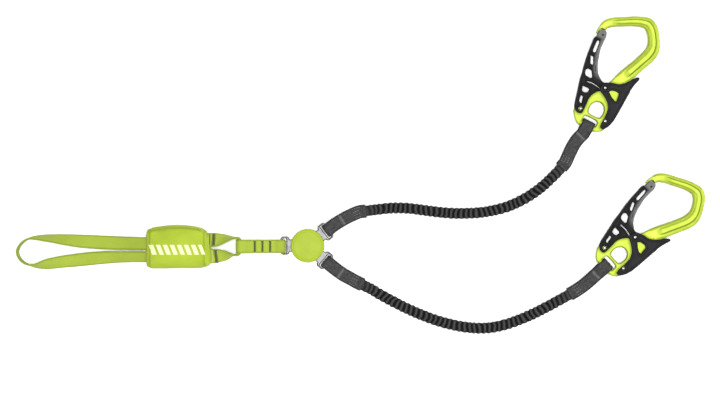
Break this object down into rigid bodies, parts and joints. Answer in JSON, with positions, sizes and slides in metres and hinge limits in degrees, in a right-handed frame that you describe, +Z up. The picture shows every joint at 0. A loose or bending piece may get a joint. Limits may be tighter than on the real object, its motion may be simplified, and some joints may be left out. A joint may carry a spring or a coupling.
{
  "type": "via ferrata lanyard set",
  "caption": "Via ferrata lanyard: tie-in loop, folded energy absorber in a pouch, swivel, elastic arms and palm-lever carabiners with spring gates.",
  "frame": {"origin": "centre of the swivel's flat underside, on the surface the set lies on", "axes": "+X from the swivel towards the carabiners, along the set; +Z up, out of the surface it lies on; +Y towards the upper arm"},
  "size_m": [0.7914, 0.365, 0.027],
  "materials": {
    "lime_metal": "satin",
    "lime_tape": "matte",
    "pouch_fabric": "matte",
    "lime_plastic": "satin",
    "black_plastic": "satin",
    "black_metal": "satin",
    "grey_tape": "matte",
    "elastic_weave": "matte",
    "rubber": "matte",
    "steel": "satin",
    "white_webbing": "matte"
  },
  "bodies": {
    "absorber_side": {"tie_in_loop": "lime_tape", "pouch_bottom_shell": "pouch_fabric", "pouch_top_shell": "pouch_fabric", "absorber_webbing": "white_webbing", "absorber_end_loop": "lime_tape", "connecting_loop": "lime_tape", "swivel_bottom_cap": "lime_plastic", "swivel_top_cap": "lime_plastic", "swivel_axle": "steel", "swivel_washer_lower": "black_plastic", "swivel_washer_upper": "black_plastic", "swivel_lug_left": "steel"},
    "upper_arm": {"upper_arm_lug": "steel", "upper_swivel_fold": "grey_tape", "upper_elastic_sleeve": "elastic_weave", "upper_elastic_core": "rubber", "upper_carabiner_fold": "grey_tape"},
    "upper_carabiner": {"upper_carabiner_body": "lime_metal", "upper_gate_rivet": "steel", "upper_lever_rivet": "steel", "upper_gate_spring": "steel", "upper_lever_spring": "steel"},
    "upper_gate": {"upper_gate": "black_metal"},
    "upper_lever": {"upper_lever": "black_plastic", "upper_lock_stud_front": "steel", "upper_lock_stud_back": "steel"},
    "lower_arm": {"lower_arm_lug": "steel", "lower_swivel_fold": "grey_tape", "lower_elastic_sleeve": "elastic_weave", "lower_elastic_core": "rubber", "lower_carabiner_fold": "grey_tape"},
    "lower_carabiner": {"lower_carabiner_body": "lime_metal", "lower_gate_rivet": "steel", "lower_lever_rivet": "steel", "lower_gate_spring": "steel", "lower_lever_spring": "steel"},
    "lower_gate": {"lower_gate": "black_metal"},
    "lower_lever": {"lower_lever": "black_plastic", "lower_lock_stud_front": "steel", "lower_lock_stud_back": "steel"}
  },
  "joints": [
    {"name": "upper_arm_swing", "type": "hinge", "parent": "absorber_side", "child": "upper_arm", "pos_m": [0, 0, 0], "axis": [0, 0, 1], "range_deg": [-4, 80]},
    {"name": "upper_carabiner_tilt", "type": "hinge", "parent": "upper_arm", "child": "upper_carabiner", "pos_m": [0.32182, 0.1382, 0.0075], "axis": [0.8894, -0.4571, 0], "range_deg": [0, 90]},
    {"name": "upper_gate_opening", "type": "hinge", "parent": "upper_carabiner", "child": "upper_gate", "pos_m": [0.3134, 0.1577, 0.0075], "axis": [0, 0, -1], "range_deg": [0, 24], "stiffness_Nm_per_rad": 0.5, "springref_deg": -40.11},
    {"name": "upper_lever_squeeze", "type": "hinge", "parent": "upper_carabiner", "child": "upper_lever", "pos_m": [0.34151, 0.14326, 0.0075], "axis": [0, 0, 1], "range_deg": [0, 9.5], "stiffness_Nm_per_rad": 1, "springref_deg": -17.19},
    {"name": "lower_arm_swing", "type": "hinge", "parent": "absorber_side", "child": "lower_arm", "pos_m": [0, 0, 0], "axis": [0, 0, 1], "range_deg": [-80, 4]},
    {"name": "lower_carabiner_tilt", "type": "hinge", "parent": "lower_arm", "child": "lower_carabiner", "pos_m": [0.34233, -0.02371, 0.0075], "axis": [0.6756, -0.7373, 0], "range_deg": [0, 90]},
    {"name": "lower_gate_opening", "type": "hinge", "parent": "lower_carabiner", "child": "lower_gate", "pos_m": [0.3412, -0.0025, 0.0075], "axis": [0, 0, -1], "range_deg": [0, 24], "stiffness_Nm_per_rad": 0.5, "springref_deg": -40.11},
    {"name": "lower_lever_squeeze", "type": "hinge", "parent": "lower_carabiner", "child": "lower_lever", "pos_m": [0.36255, -0.0258, 0.0075], "axis": [0, 0, 1], "range_deg": [0, 9.5], "stiffness_Nm_per_rad": 1, "springref_deg": -17.19}
  ]
}
